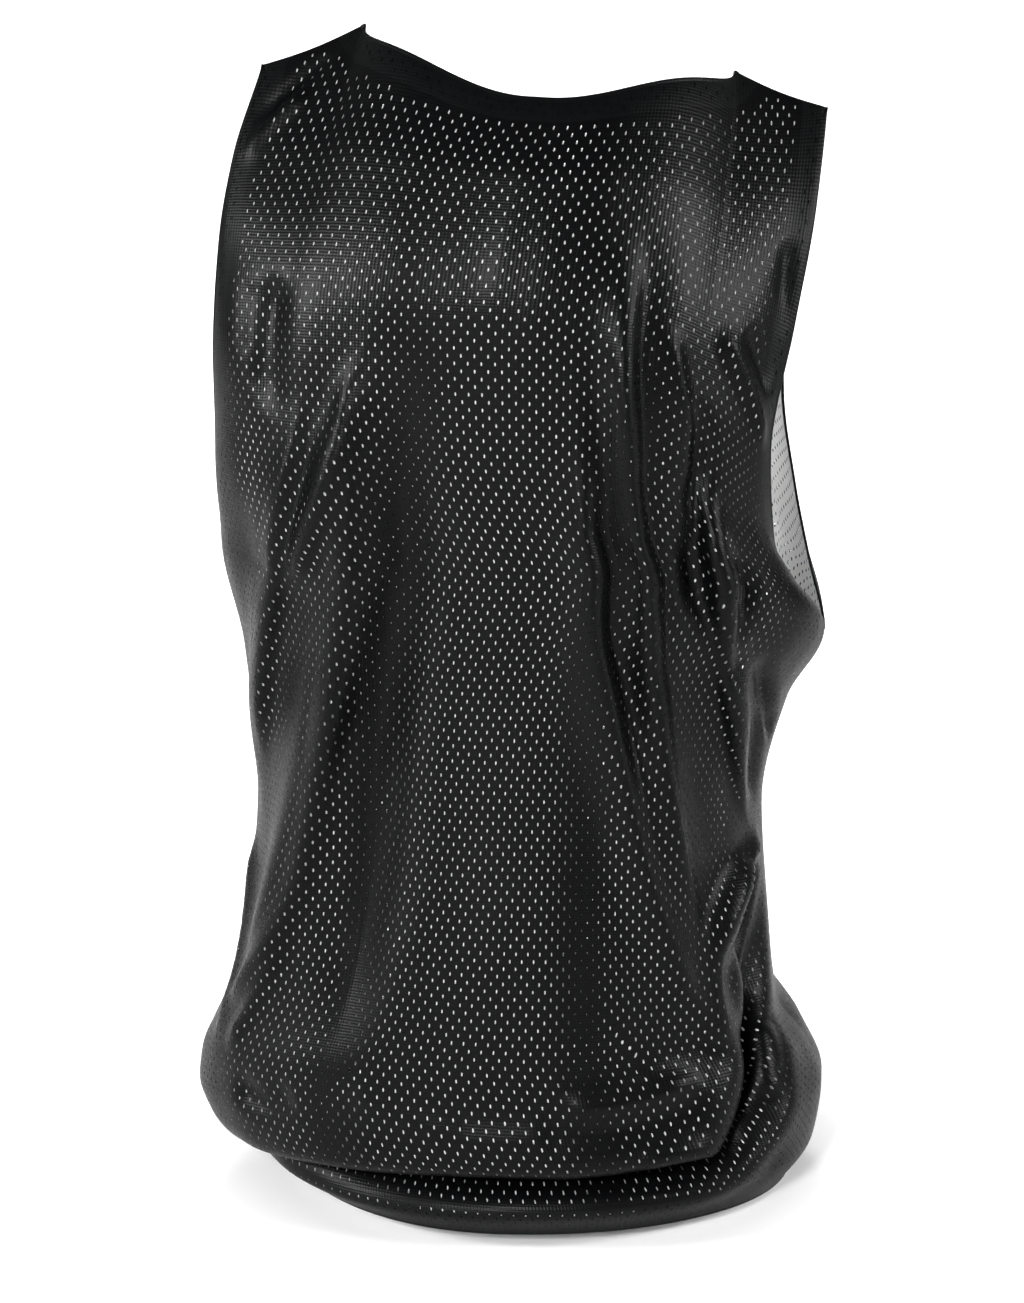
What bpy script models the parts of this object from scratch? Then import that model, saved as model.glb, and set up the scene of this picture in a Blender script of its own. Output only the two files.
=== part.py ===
# Reversible mesh basketball jersey, held open in its worn form.
# +Z up, the wearer's front faces -Y, the wearer's left is +X.
# Origin: middle of the shoulders, between the two neck ends of the shoulder seams.
import math
import bpy
import numpy as np
from mathutils import Vector
from mathutils.geometry import delaunay_2d_cdt

for old in list(bpy.data.objects):
    bpy.data.objects.remove(old, do_unlink=True)

MM = 0.001

# ---------------------------------------------------------------- the cut, flat, mm
HALF_WIDTH = 266.0       # side seam to centre of one panel
LENGTH = 760.0           # hem to neck end of the shoulder seam
UNDERARM = 440.0         # hem to bottom of the armhole
NECK_HALF = 125.0        # neck end of the shoulder seam, from the centre
SHOULDER_HALF = 186.0    # arm end of the shoulder seam, from the centre
SHOULDER_DROP = 24.0     # slope of the shoulder seam
NECK_DROP = {"back": 26.0, "front": 125.0}
ARM_POWER = {"back": 3.0, "front": 2.6}
NECK_POWER = 2.2
NECK_BAND = 16.0
ARM_BAND = 16.0
HEM_BAND = 28.0
# ---------------------------------------------------------------- the cloth, mm
WALL = 1.0               # one layer
LAYER_GAP = 0.3          # between the two layers
SEAM_INSET = 0.2         # each piece stops this far short of its seam line
CELL = 29.0              # size of a facet on the panels
CREASE_CELL = 17.0       # size of a facet along the hem crease

# ---------------------------------------------------------------- the worn form, mm
# guide lines; columns: v up the cut, x, y, z
SIDE_LEFT = [
    (0, 140, 15, -690), (40, 166, 15, -692), (60, 179, 14, -686), (80, 192, 12, -672),
    (100, 199, 10, -655), (120, 197, 8, -636), (160, 180, 4, -598), (200, 170, 0, -558),
    (300, 159, 0, -452), (380, 166, 0, -366), (440, 178, 2, -300)]
SIDE_RIGHT = [
    (0, -178, 12, -704), (40, -194, 12, -678), (80, -198, 10, -646), (120, -186, 5, -618),
    (150, -168, 2, -594), (200, -162, 0, -545), (300, -156, 0, -462), (380, -170, 0, -396),
    (440, -192, 0, -351)]
MIDDLE = {
    "back": [
        (0, -6, 146, -698), (40, -6, 152, -672), (80, -6, 154, -645), (120, -6, 153, -606),
        (200, -6, 144, -528), (300, -6, 128, -430), (400, -8, 120, -332), (500, -10, 124, -234),
        (600, -14, 128, -136), (680, -18, 106, -62), (715, -20, 86, -34), (734, -21, 72, -20),
        (765, -22, 45, -2)],
    "front": [
        (0, -6, -146, -698), (40, -6, -152, -672), (80, -6, -154, -645), (120, -6, -150, -606),
        (200, -6, -142, -528), (300, -6, -134, -430), (400, -6, -136, -332), (500, -8, -138, -232),
        (580, -10, -128, -155), (635, -14, -110, -102), (700, -18, -80, -48), (765, -22, -45, -5)]}
ARM_LEFT = {
    "back": [
        (480, 178, 20, -262), (520, 176, 32, -224), (580, 174, 42, -166), (640, 170, 36, -108),
        (690, 163, 20, -62), (736, 149, -5, -13), (765, 145, -20, 8)],
    "front": [
        (480, 180, -20, -262), (520, 178, -40, -224), (580, 174, -56, -166), (640, 166, -50, -108),
        (690, 158, -28, -62), (736, 149, -5, -13), (765, 145, 10, 8)]}
ARM_RIGHT = {
    "back": [
        (480, -174, 24, -318), (520, -160, 44, -284), (580, -157, 60, -226), (640, -170, 48, -150),
        (690, -180, 26, -88), (736, -185, -5, -34), (765, -186, -20, -12)],
    "front": [
        (480, -182, -22, -314), (520, -172, -42, -272), (580, -163, -58, -214), (640, -162, -54, -150),
        (690, -172, -32, -88), (736, -185, -5, -34), (765, -186, 10, -12)]}
# columns: v, angle a row wraps from the middle to its end, deg
WRAP = [(0, 90), (440, 90), (480, 87), (580, 78), (660, 68), (736, 60), (765, 58)]
# columns: v, how far a row rises over the shoulder muscle, mm
RISE = [(0, 0), (560, 0), (640, 4), (700, 12), (736, 20), (765, 24)]
# the shoulder seams: x, y, z of the neck end and of the arm end, left (+1) and right (-1)
SEAM_NECK = {1: (87, 0, 12), -1: (-131, 0, -13)}
SEAM_ARM = {1: (149, -5, -13), -1: (-185, -5, -34)}
SEAM_DIP = 2.0
SEAM_REACH = 210.0

# ---------------------------------------------------------------- folds, mm on the flat cut
# columns: name, height (out +, in -), half width, then the path from top to bottom as u, v
FOLDS = {
    "back": [
        ("left_crease", -5, 13, (140, 625), (138, 580), (143, 530)),
        ("left_ridge", 7, 17, (122, 555), (160, 455), (190, 385), (245, 285)),
        ("left_diagonal", 6, 15, (90, 550), (102, 500), (135, 452), (160, 415)),
        ("main_left", 13, 27, (75, 565), (112, 420), (145, 300), (175, 200), (208, 95)),
        ("trough_left", -9, 30, (45, 570), (72, 410), (80, 300), (95, 190), (112, 120)),
        ("right_one", 9, 19, (-57, 540), (-52, 430), (-90, 315), (-122, 225), (-172, 125)),
        ("right_two", 9, 19, (-80, 665), (-84, 500), (-105, 380), (-132, 275), (-165, 180)),
        ("right_three_in", -6, 12, (-122, 580), (-125, 507), (-114, 450), (-135, 412)),
        ("right_three_out", 8, 15, (-136, 535), (-129, 460), (-160, 392), (-195, 310)),
        ("right_four", -5, 12, (-158, 480), (-148, 435), (-160, 402), (-182, 388)),
        ("under_arm", -5, 12, (-192, 398), (-215, 350), (-232, 295)),
        ("arm_dent", -4, 16, (-178, 670), (-188, 600)),
        ("pocket", -9, 17, (-216, 285), (-206, 225), (-185, 180)),
        ("side_drape", 8, 16, (-244, 268), (-185, 240), (-160, 190))],
    "front": [
        ("left_ridge", 8, 20, (118, 540), (140, 450), (178, 370), (226, 285)),
        ("main_left", 11, 26, (62, 510), (88, 400), (130, 280), (180, 160)),
        ("trough_left", -8, 28, (28, 480), (52, 370), (78, 260), (110, 150)),
        ("right_one", 10, 20, (-48, 500), (-60, 390), (-92, 270), (-140, 150)),
        ("right_two", 9, 18, (-92, 560), (-98, 450), (-122, 340), (-168, 230)),
        ("right_three", 7, 15, (-150, 520), (-160, 430), (-196, 345)),
        ("under_arm", -5, 12, (-206, 400), (-222, 350), (-236, 300)),
        ("pocket", -8, 18, (-208, 270), (-190, 205), (-176, 160))]}
# the crease where the surplus length tucks in above the hem, left to right
# columns: u, v, depth, half width
CREASE = {
    "back": [
        (262, 42, 2, 13), (200, 44, 8, 13), (110, 47, 15, 14), (40, 51, 20, 15), (-15, 54, 23, 15),
        (-62, 55, 24, 15), (-112, 58, 24, 15), (-146, 71, 23, 15), (-170, 96, 21, 16),
        (-190, 130, 18, 15), (-212, 170, 12, 14), (-234, 213, 4, 13), (-244, 240, 0, 12)],
    "front": [
        (262, 46, 2, 13), (180, 60, 12, 14), (90, 72, 18, 15), (0, 70, 20, 15), (-90, 62, 18, 15),
        (-180, 56, 12, 14), (-262, 52, 2, 13)]}
CREASE_SLIDE = 0.34      # the upper cloth slides over the lower by this share of the depth
SIDE_FADE = 26.0         # folds die out this far from a side seam

STEP = 2.5
ROWS = np.arange(-5.0, 770.1, STEP)
COLS = np.arange(-275.0, 275.1, STEP)


def half_width(v, side):
    s = np.clip((np.asarray(v, float) - UNDERARM) / (LENGTH - SHOULDER_DROP - UNDERARM), 0, 1)
    return SHOULDER_HALF + (HALF_WIDTH - SHOULDER_HALF) * (1 - s) ** ARM_POWER[side]


def top_of(u, side):
    a = np.abs(np.asarray(u, float))
    curve = np.clip(1 - (a / NECK_HALF) ** NECK_POWER, 0, 1) ** (1 / NECK_POWER)
    neck = LENGTH - NECK_DROP[side] * curve
    shoulder = LENGTH - SHOULDER_DROP * (a - NECK_HALF) / (SHOULDER_HALF - NECK_HALF)
    return np.where(a < NECK_HALF, neck, shoulder)


def smooth(t):
    t = np.clip(t, 0, 1)
    return t * t * (3 - 2 * t)


def table(rows, q):
    """Smooth reading of a table whose first column is the place."""
    tab = np.asarray(rows, float)
    x, y = tab[:, 0], tab[:, 1:]
    h = np.diff(x)
    d = np.diff(y, axis=0) / h[:, None]
    m = np.zeros_like(y)
    for i in range(1, len(x) - 1):
        w1, w2 = 2 * h[i] + h[i - 1], h[i] + 2 * h[i - 1]
        same = d[i - 1] * d[i] > 0
        a = np.where(same, d[i - 1], 1)
        b = np.where(same, d[i], 1)
        m[i] = np.where(same, (w1 + w2) / (w1 / a + w2 / b), 0)
    m[0], m[-1] = d[0], d[-1]
    q = np.asarray(q, float)
    i = np.clip(np.searchsorted(x, q, side="right") - 1, 0, len(x) - 2)
    t = ((q - x[i]) / h[i])[..., None]
    k = h[i][..., None]
    return ((1 + 2 * t) * (1 - t) ** 2 * y[i] + t * (1 - t) ** 2 * k * m[i]
            + t * t * (3 - 2 * t) * y[i + 1] + t * t * (t - 1) * k * m[i + 1])


def sample(grid, u, v):
    a = (np.asarray(u, float) - COLS[0]) / STEP
    b = (np.asarray(v, float) - ROWS[0]) / STEP
    j = np.clip(a.astype(int), 0, len(COLS) - 2)
    i = np.clip(b.astype(int), 0, len(ROWS) - 2)
    g, f = (a - j)[..., None], (b - i)[..., None]
    return (grid[i, j] * (1 - f) * (1 - g) + grid[i + 1, j] * f * (1 - g)
            + grid[i, j + 1] * (1 - f) * g + grid[i + 1, j + 1] * f * g)


def smooth_form(side):
    """The worn form before folds: one point for each place on the flat cut."""
    mid = table(MIDDLE[side], ROWS)
    left = table(SIDE_LEFT + ARM_LEFT[side], ROWS)
    right = table(SIDE_RIGHT + ARM_RIGHT[side], ROWS)
    wrap = np.radians(table(WRAP, ROWS)[:, 0])
    rise = table(RISE, ROWS)[:, 0]
    t = np.linspace(-1.08, 1.08, 243)
    ang = t[None, :] * wrap[:, None]
    end = np.where((t >= 0)[None, :, None], left[:, None, :], right[:, None, :])
    across = np.abs(np.sin(ang)) / np.sin(wrap)[:, None]
    around = (1 - np.cos(ang)) / (1 - np.cos(wrap))[:, None]
    pts = mid[:, None, :] + (end - mid[:, None, :]) * np.stack([across, around, around], -1)
    pts[..., 2] += rise[:, None] * np.sin(np.clip(np.abs(t), 0, 1) * math.pi)[None, :] ** 2
    run = np.linalg.norm(np.diff(pts, axis=1), axis=2)
    run = np.concatenate([np.zeros((len(ROWS), 1)), np.cumsum(run, axis=1)], axis=1)
    half = half_width(ROWS, side)
    out = np.empty((len(ROWS), len(COLS), 3))
    for r in range(len(ROWS)):
        lo, hi = np.interp([-1, 1], t, run[r])
        q = lo + (COLS / half[r] + 1) / 2 * (hi - lo)
        for c in range(3):
            out[r, :, c] = np.interp(q, run[r], pts[r, :, c])
        for beyond, e, n in ((q < run[r, 0], 0, 1), (q > run[r, -1], -1, -2)):
            if beyond.any():
                slope = (pts[r, n] - pts[r, e]) / (run[r, n] - run[r, e])
                out[r, beyond] = pts[r, e] + np.outer(q[beyond] - run[r, e], slope)
    # front and back meet on the shoulder seams
    at = sample(out, COLS, top_of(COLS, side))
    fix = np.zeros_like(at)
    for hand in (1, -1):
        here = np.sign(COLS) == hand
        a = np.clip((np.abs(COLS) - NECK_HALF) / (SHOULDER_HALF - NECK_HALF), 0, 1)
        aim = ((1 - a)[:, None] * np.array(SEAM_NECK[hand], float)
               + a[:, None] * np.array(SEAM_ARM[hand], float))
        aim[:, 2] -= SEAM_DIP * np.sin(a * math.pi)
        seam = here & (np.abs(COLS) >= NECK_HALF) & (np.abs(COLS) <= SHOULDER_HALF)
        fix[seam] = aim[seam] - at[seam]
        order = np.where(seam)[0]
        first = order[np.argmin(np.abs(COLS[order]))]
        last = order[np.argmax(np.abs(COLS[order]))]
        inner = here & (np.abs(COLS) < NECK_HALF)
        fix[inner] = fix[first] * ((np.abs(COLS[inner]) / NECK_HALF) ** 1.2)[:, None]
        fix[here & (np.abs(COLS) > SHOULDER_HALF)] = fix[last]
    w = smooth((ROWS - (LENGTH - 14 - SEAM_REACH)) / SEAM_REACH)
    return out + w[:, None, None] * fix[None]


def path_of(points, n):
    """Even points along a soft curve through the given places; all columns ride along."""
    p = np.asarray(points, float)
    run = np.concatenate([[0], np.cumsum(np.linalg.norm(np.diff(p[:, :2], axis=0), axis=1))])
    return table(np.column_stack([run, p]), np.linspace(0, run[-1], n))


def nearest(path, u, v):
    """Signed distance to a path (left of its direction +), share along it, its own columns."""
    best = np.full(u.shape, 1e9)
    dist = np.zeros(u.shape)
    share = np.zeros(u.shape)
    du, dv = np.zeros(u.shape), np.zeros(u.shape)
    for k in range(len(path) - 1):
        a, b = path[k, :2], path[k + 1, :2]
        e = b - a
        t = np.clip(((u - a[0]) * e[0] + (v - a[1]) * e[1]) / (e @ e), 0, 1)
        x, y = u - a[0] - t * e[0], v - a[1] - t * e[1]
        d = np.hypot(x, y)
        near = d < best
        best = np.where(near, d, best)
        turn = e[0] * y - e[1] * x
        dist = np.where(near, np.where(turn >= 0, d, -d), dist)
        share = np.where(near, (k + t) / (len(path) - 1), share)
        length = math.hypot(e[0], e[1])
        du = np.where(near, -e[1] / length, du)
        dv = np.where(near, e[0] / length, dv)
    return dist, share, du, dv


def outward(grid, side):
    n = np.cross(np.gradient(grid, axis=1), np.gradient(grid, axis=0))
    n /= np.linalg.norm(n, axis=2, keepdims=True)
    return -n if side == "back" else n


def worn_form(side):
    base = smooth_form(side)
    u, v = np.meshgrid(COLS, ROWS)
    fade = smooth((HALF_WIDTH - np.abs(u)) / SIDE_FADE)
    fade = np.where(v > UNDERARM, smooth((half_width(v, side) - np.abs(u) + 4) / SIDE_FADE), fade)
    # the crease above the hem: the path runs left to right, so "left of it" is below
    path = path_of(CREASE[side], 60)
    dist, share, du, dv = nearest(path, u, v)
    dist, du, dv = -dist, -du, -dv
    depth = np.interp(share, np.linspace(0, 1, 60), path[:, 2]) * fade
    width = np.interp(share, np.linspace(0, 1, 60), path[:, 3])
    d = dist / width
    slide = CREASE_SLIDE * depth * np.tanh(d) * np.exp(-(d / 6) ** 2)
    out = sample(base, u - du * slide, v - dv * slide)
    lift = depth * (-np.exp(-d ** 2) + 0.32 * np.exp(-((d - 2.1) / 1.3) ** 2)
                    + 0.22 * np.exp(-((d + 1.9) / 1.1) ** 2))
    for name, height, half, *path in FOLDS[side]:
        dist, share, _, _ = nearest(path_of(path, 40), u, v)
        ends = smooth(share / 0.28) * smooth((1 - share) / 0.28)
        lift += height * np.exp(-(dist / half) ** 2) * ends * fade
    normal = sample(outward(base, side), u - du * slide, v - dv * slide)
    normal /= np.linalg.norm(normal, axis=2, keepdims=True)
    return out + normal * lift[..., None]


FORM = {side: worn_form(side) for side in ("back", "front")}


def worn(side, u, v):
    return sample(FORM[side], np.asarray(u, float), np.asarray(v, float))


# ---------------------------------------------------------------- the flat pieces
def inward(line, by):
    """A line moved sideways by a distance, on the flat."""
    line = np.asarray(line, float)
    t = np.gradient(line, axis=0)
    t /= np.linalg.norm(t, axis=1)[:, None]
    return line + by * np.column_stack([t[:, 1], -t[:, 0]])


def on_shoulder(u):
    return LENGTH - SHOULDER_DROP * (abs(u) - NECK_HALF) / (SHOULDER_HALF - NECK_HALF)


def arm_lines(side, n):
    """Cut edge and seam line of the left armhole, from the underarm to the shoulder."""
    v = UNDERARM + (LENGTH - SHOULDER_DROP - UNDERARM) * np.linspace(0, 1, n) ** 1.15
    edge = np.column_stack([half_width(v, side), v])
    seam = inward(edge, -ARM_BAND)
    seam[0] = (HALF_WIDTH, UNDERARM - ARM_BAND)
    seam[-1] = (SHOULDER_HALF - ARM_BAND, on_shoulder(SHOULDER_HALF - ARM_BAND))
    seam[1] = (edge[1, 0] - ARM_BAND * 0.9, edge[1, 1] - ARM_BAND * 0.8)
    return edge, seam


def neck_lines(side, n):
    """Cut edge and seam line of the neck, from the left shoulder to the right."""
    a = np.linspace(math.pi, 0, n)
    k = 2 / NECK_POWER
    u = -NECK_HALF * np.sign(np.cos(a)) * np.abs(np.cos(a)) ** k
    v = LENGTH - NECK_DROP[side] * np.sin(a).clip(0) ** k
    edge = np.column_stack([u, v])
    seam = inward(edge, -NECK_BAND)
    ends = NECK_HALF + NECK_BAND
    if side == "back":
        seam[:, 0] = np.linspace(ends, -ends, n)
        seam[:, 1] = np.interp(np.abs(seam[:, 0]), [0, 60, 95, 120, ends],
                               [LENGTH - NECK_DROP[side] - NECK_BAND, LENGTH - NECK_DROP[side] - NECK_BAND + 2,
                                LENGTH - NECK_DROP[side] - NECK_BAND + 7, LENGTH - NECK_BAND - 6, on_shoulder(ends)])
    seam[0], seam[-1] = (ends, on_shoulder(ends)), (-ends, on_shoulder(ends))
    return edge, seam


SIDE_V = [HEM_BAND, 44, 60, 78, 98, 122, 150, 180, 210, 240, 270, 300, 330, 360, 392, UNDERARM - ARM_BAND]
HEM_U = np.linspace(HALF_WIDTH, -HALF_WIDTH, 20)
ARM_N = 12
NECK_N = {"back": 13, "front": 17}


def mirror(line):
    return np.asarray(line) * (-1, 1)


def strip(a, b):
    """Triangles between two lines with the same number of points, and the points."""
    a, b = np.asarray(a, float), np.asarray(b, float)
    n = len(a)
    pts = np.concatenate([a, b])
    tris = []
    for i in range(n - 1):
        tris += [(i, i + 1, n + i + 1), (i, n + i + 1, n + i)]
    return pts, tris


def panel(side):
    """The panel inside its bands: a ring of seam points, filled with even facets."""
    arm, neck = arm_lines(side, ARM_N)[1], neck_lines(side, NECK_N[side])[1]
    right_side = [(-HALF_WIDTH, v) for v in SIDE_V]
    left_side = [(HALF_WIDTH, v) for v in SIDE_V]
    ring = ([(u, HEM_BAND) for u in HEM_U] + right_side[1:] + list(mirror(arm))[1:]
            + list(neck)[::-1] + list(arm)[::-1] + left_side[::-1][1:-1])
    ring = np.array(ring, float)
    keep = list(ring)
    crease = path_of(CREASE[side], 60)[:, :2]
    t = np.gradient(crease, axis=0)
    t /= np.linalg.norm(t, axis=1)[:, None]
    nrm = np.column_stack([-t[:, 1], t[:, 0]])
    wanted = []
    for off in (0, -14, 14, -27, 28, 44):
        for k in range(1, 60, 3):
            wanted.append((crease[k] - off * nrm[k], CREASE_CELL * 0.62))
    rows = np.arange(HEM_BAND + CELL * 0.6, LENGTH, CELL * 0.9)
    for i, v in enumerate(rows):
        for u in np.arange(-10, 11) * CELL + (CELL / 2 if i % 2 else 0):
            wanted.append((np.array((u, v)), CELL * 0.66))
    for p, gap in wanted:
        if not inside(ring, p):
            continue
        near = np.asarray(keep)
        if np.min(np.hypot(near[:, 0] - p[0], near[:, 1] - p[1])) > gap:
            keep.append(p)
    n = len(ring)
    edges = [(i, (i + 1) % n) for i in range(n)]
    verts, _, faces, *_ = delaunay_2d_cdt([Vector((float(x), float(y))) for x, y in keep], edges, [], 1, 1e-5)
    return np.array([(p.x, p.y) for p in verts]), [tuple(f) for f in faces]


def inside(ring, p):
    x, y = ring[:, 0], ring[:, 1]
    x2, y2 = np.roll(x, -1), np.roll(y, -1)
    cross = (y > p[1]) != (y2 > p[1])
    at = x + (p[1] - y) * (x2 - x) / np.where(y2 == y, 1, y2 - y)
    return bool(np.sum(cross & (p[0] < at)) % 2)


class Cloth:
    """Shared points of all pieces: place, and one outward normal each."""

    def __init__(self):
        self.ids, self.place, self.flat = {}, [], []
        self.normal = None

    def point(self, side, u, v):
        seam = ((abs(u) > HALF_WIDTH - 0.05 and v < UNDERARM + 0.05)
                or (abs(u) > NECK_HALF - 0.05 and abs(v - on_shoulder(u)) < 0.1))
        key = ("seam" if seam else side, round(u, 1), round(v, 1))
        if key not in self.ids:
            if seam:
                p = (worn("back", u, v) + worn("front", u, v)) / 2
            else:
                p = worn(side, u, v)
            self.ids[key] = len(self.place)
            self.place.append(p)
        return self.ids[key]

    def piece(self, side, pts, tris):
        ids = [self.point(side, float(u), float(v)) for u, v in pts]
        out = []
        for a, b, c in tris:
            area = ((pts[b][0] - pts[a][0]) * (pts[c][1] - pts[a][1])
                    - (pts[b][1] - pts[a][1]) * (pts[c][0] - pts[a][0]))
            if (area > 0) == (side == "back"):
                b, c = c, b
            tri = (ids[a], ids[b], ids[c])
            if len(set(tri)) == 3:
                out.append(tri)
        return out

    def finish(self, pieces):
        self.place = np.array(self.place)
        total = np.zeros_like(self.place)
        for tris in pieces:
            t = np.array(tris)
            a, b, c = self.place[t[:, 0]], self.place[t[:, 1]], self.place[t[:, 2]]
            n = np.cross(b - a, c - a)
            for k in range(3):
                p, q, r = (a, b, c), (b, c, a), (c, a, b)
                e1, e2 = q[k] - p[k], r[k] - p[k]
                w = np.arccos(np.clip(np.sum(e1 * e2, 1) / np.linalg.norm(e1, axis=1)
                                      / np.linalg.norm(e2, axis=1), -1, 1))
                np.add.at(total, t[:, k], n / np.linalg.norm(n, axis=1)[:, None] * w[:, None])
        self.normal = total / np.linalg.norm(total, axis=1)[:, None]


def solid(name, cloth, tris, low, high, material):
    """A closed wall on the given facets, short of its seams all round."""
    used = sorted({i for t in tris for i in t})
    index = {g: i for i, g in enumerate(used)}
    count = {}
    for t in tris:
        for k in range(3):
            count[(t[k], t[(k + 1) % 3])] = t
    rim = [(a, b, t) for (a, b), t in count.items() if (b, a) not in count]
    push = {}
    for a, b, t in rim:
        p = cloth.place[list(t)]
        n = np.cross(p[1] - p[0], p[2] - p[0])
        e = np.cross(n, cloth.place[b] - cloth.place[a])
        e /= np.linalg.norm(e)
        for g in (a, b):
            push.setdefault(g, []).append(e)
    shift = np.zeros((len(used), 3))
    for g, es in push.items():
        m = sum(es)
        shift[index[g]] = len(es) * SEAM_INSET * m / max(float(m @ m), 0.5)
    place = cloth.place[used] + shift
    normal = cloth.normal[used]
    top, bottom = place + high * normal, place + low * normal
    n = len(used)
    verts = np.concatenate([top, bottom]) * MM
    faces = [tuple(index[g] for g in t) for t in tris]
    faces += [tuple(index[g] + n for g in t[::-1]) for t in tris]
    for a, b, _ in rim:
        i, j = index[a], index[b]
        faces += [(j, i, i + n), (j, i + n, j + n)]
    mesh = bpy.data.meshes.new(name)
    mesh.from_pydata([tuple(p) for p in verts.tolist()], [], faces)
    mesh.materials.append(material)
    mesh.update()
    obj = bpy.data.objects.new(name, mesh)
    bpy.context.scene.collection.objects.link(obj)
    return len(faces)


def fabric(name, colour, rough):
    m = bpy.data.materials.new(name)
    m.use_nodes = True
    s = m.node_tree.nodes["Principled BSDF"]
    s.inputs["Base Color"].default_value = (*colour, 1)
    s.inputs["Roughness"].default_value = rough
    return m


cloth = Cloth()
part = {}
for side in ("back", "front"):
    part["panel_" + side] = cloth.piece(side, *panel(side))
    part["hem_" + side] = cloth.piece(side, *strip([(u, 0) for u in HEM_U], [(u, HEM_BAND) for u in HEM_U]))
    edge, seam = neck_lines(side, NECK_N[side])
    part["neck_" + side] = cloth.piece(side, *strip(edge, seam))
    edge, seam = arm_lines(side, ARM_N)
    part["left_" + side] = cloth.piece(side, *strip(edge, seam))
    part["right_" + side] = cloth.piece(side, *strip(mirror(edge), mirror(seam)))
cloth.finish(part.values())

black = {n: fabric("black_mesh_" + n, (0.012, 0.013, 0.015), 0.55)
         for n in ("back", "front", "neck", "arm_left", "arm_right", "hem_back", "hem_front")}
white = {n: fabric("white_mesh_" + n, (0.62, 0.63, 0.65), 0.7) for n in ("back", "front")}
HALF = LAYER_GAP / 2
total = 0
for side in ("back", "front"):
    total += solid(side + "_outer", cloth, part["panel_" + side], HALF, HALF + WALL, black[side])
    total += solid(side + "_inner", cloth, part["panel_" + side], -HALF - WALL, -HALF, white[side])
    total += solid("hem_band_" + side, cloth, part["hem_" + side], -HALF - WALL, HALF + WALL, black["hem_" + side])
for name, key, mat in (("neck_band", "neck", "neck"), ("armhole_band_left", "left", "arm_left"),
                       ("armhole_band_right", "right", "arm_right")):
    total += solid(name, cloth, part[key + "_back"] + part[key + "_front"], -HALF - WALL, HALF + WALL, black[mat])
print("facets", total)
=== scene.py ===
# Looks of the reversible mesh basketball jersey. Lengths in the tables are mm on the flat cut
# or in the row's frame; the meshes are in metres.
import math

import bpy
import numpy as np
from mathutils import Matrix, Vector
from mathutils.geometry import delaunay_2d_cdt


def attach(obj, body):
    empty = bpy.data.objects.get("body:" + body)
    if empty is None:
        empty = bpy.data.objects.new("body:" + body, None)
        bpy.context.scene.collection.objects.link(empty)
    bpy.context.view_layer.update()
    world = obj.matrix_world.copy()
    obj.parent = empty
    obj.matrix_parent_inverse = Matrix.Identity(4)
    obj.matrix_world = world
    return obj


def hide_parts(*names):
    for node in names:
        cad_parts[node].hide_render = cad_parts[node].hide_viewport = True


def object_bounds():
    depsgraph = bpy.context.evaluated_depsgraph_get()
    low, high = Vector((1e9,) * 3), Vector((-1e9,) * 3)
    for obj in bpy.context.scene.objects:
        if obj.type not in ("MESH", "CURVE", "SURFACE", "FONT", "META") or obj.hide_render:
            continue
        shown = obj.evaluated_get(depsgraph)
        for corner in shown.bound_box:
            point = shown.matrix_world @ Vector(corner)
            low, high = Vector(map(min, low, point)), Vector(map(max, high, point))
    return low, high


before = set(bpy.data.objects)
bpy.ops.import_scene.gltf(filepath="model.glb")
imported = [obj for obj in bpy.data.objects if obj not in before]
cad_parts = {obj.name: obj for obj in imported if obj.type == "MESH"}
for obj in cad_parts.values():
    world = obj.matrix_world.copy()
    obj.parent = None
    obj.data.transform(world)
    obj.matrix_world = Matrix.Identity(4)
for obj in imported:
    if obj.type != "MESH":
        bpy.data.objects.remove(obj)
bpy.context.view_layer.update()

MM = 0.001

# ---------------------------------------------------------------- the cut, flat, mm
HALF_WIDTH = 266.0       # side seam to centre of one panel
LENGTH = 760.0           # hem to neck end of the shoulder seam
UNDERARM = 440.0         # hem to bottom of the armhole
NECK_HALF = 125.0        # neck end of the shoulder seam, from the centre
SHOULDER_HALF = 186.0    # arm end of the shoulder seam, from the centre
SHOULDER_DROP = 24.0     # slope of the shoulder seam
NECK_DROP = {"back": 26.0, "front": 125.0}
ARM_POWER = {"back": 3.0, "front": 2.6}
NECK_POWER = 2.2
NECK_BAND = 16.0
ARM_BAND = 16.0
HEM_BAND = 28.0

# ---------------------------------------------------------------- the worn form, mm
# guide lines; columns: v up the cut, x, y, z
SIDE_LEFT = [
    (0, 140, 15, -690), (40, 166, 15, -692), (60, 179, 14, -686), (80, 192, 12, -672),
    (100, 199, 10, -655), (120, 197, 8, -636), (160, 180, 4, -598), (200, 170, 0, -558),
    (300, 159, 0, -452), (380, 166, 0, -366), (440, 178, 2, -300)]
SIDE_RIGHT = [
    (0, -178, 12, -704), (40, -194, 12, -678), (80, -198, 10, -646), (120, -186, 5, -618),
    (150, -168, 2, -594), (200, -162, 0, -545), (300, -156, 0, -462), (380, -170, 0, -396),
    (440, -192, 0, -351)]
MIDDLE = {
    "back": [
        (0, -6, 146, -698), (40, -6, 152, -672), (80, -6, 154, -645), (120, -6, 153, -606),
        (200, -6, 144, -528), (300, -6, 128, -430), (400, -8, 120, -332), (500, -10, 124, -234),
        (600, -14, 128, -136), (680, -18, 106, -62), (715, -20, 86, -34), (734, -21, 72, -20),
        (765, -22, 45, -2)],
    "front": [
        (0, -6, -146, -698), (40, -6, -152, -672), (80, -6, -154, -645), (120, -6, -150, -606),
        (200, -6, -142, -528), (300, -6, -134, -430), (400, -6, -136, -332), (500, -8, -138, -232),
        (580, -10, -128, -155), (635, -14, -110, -102), (700, -18, -80, -48), (765, -22, -45, -5)]}
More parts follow.
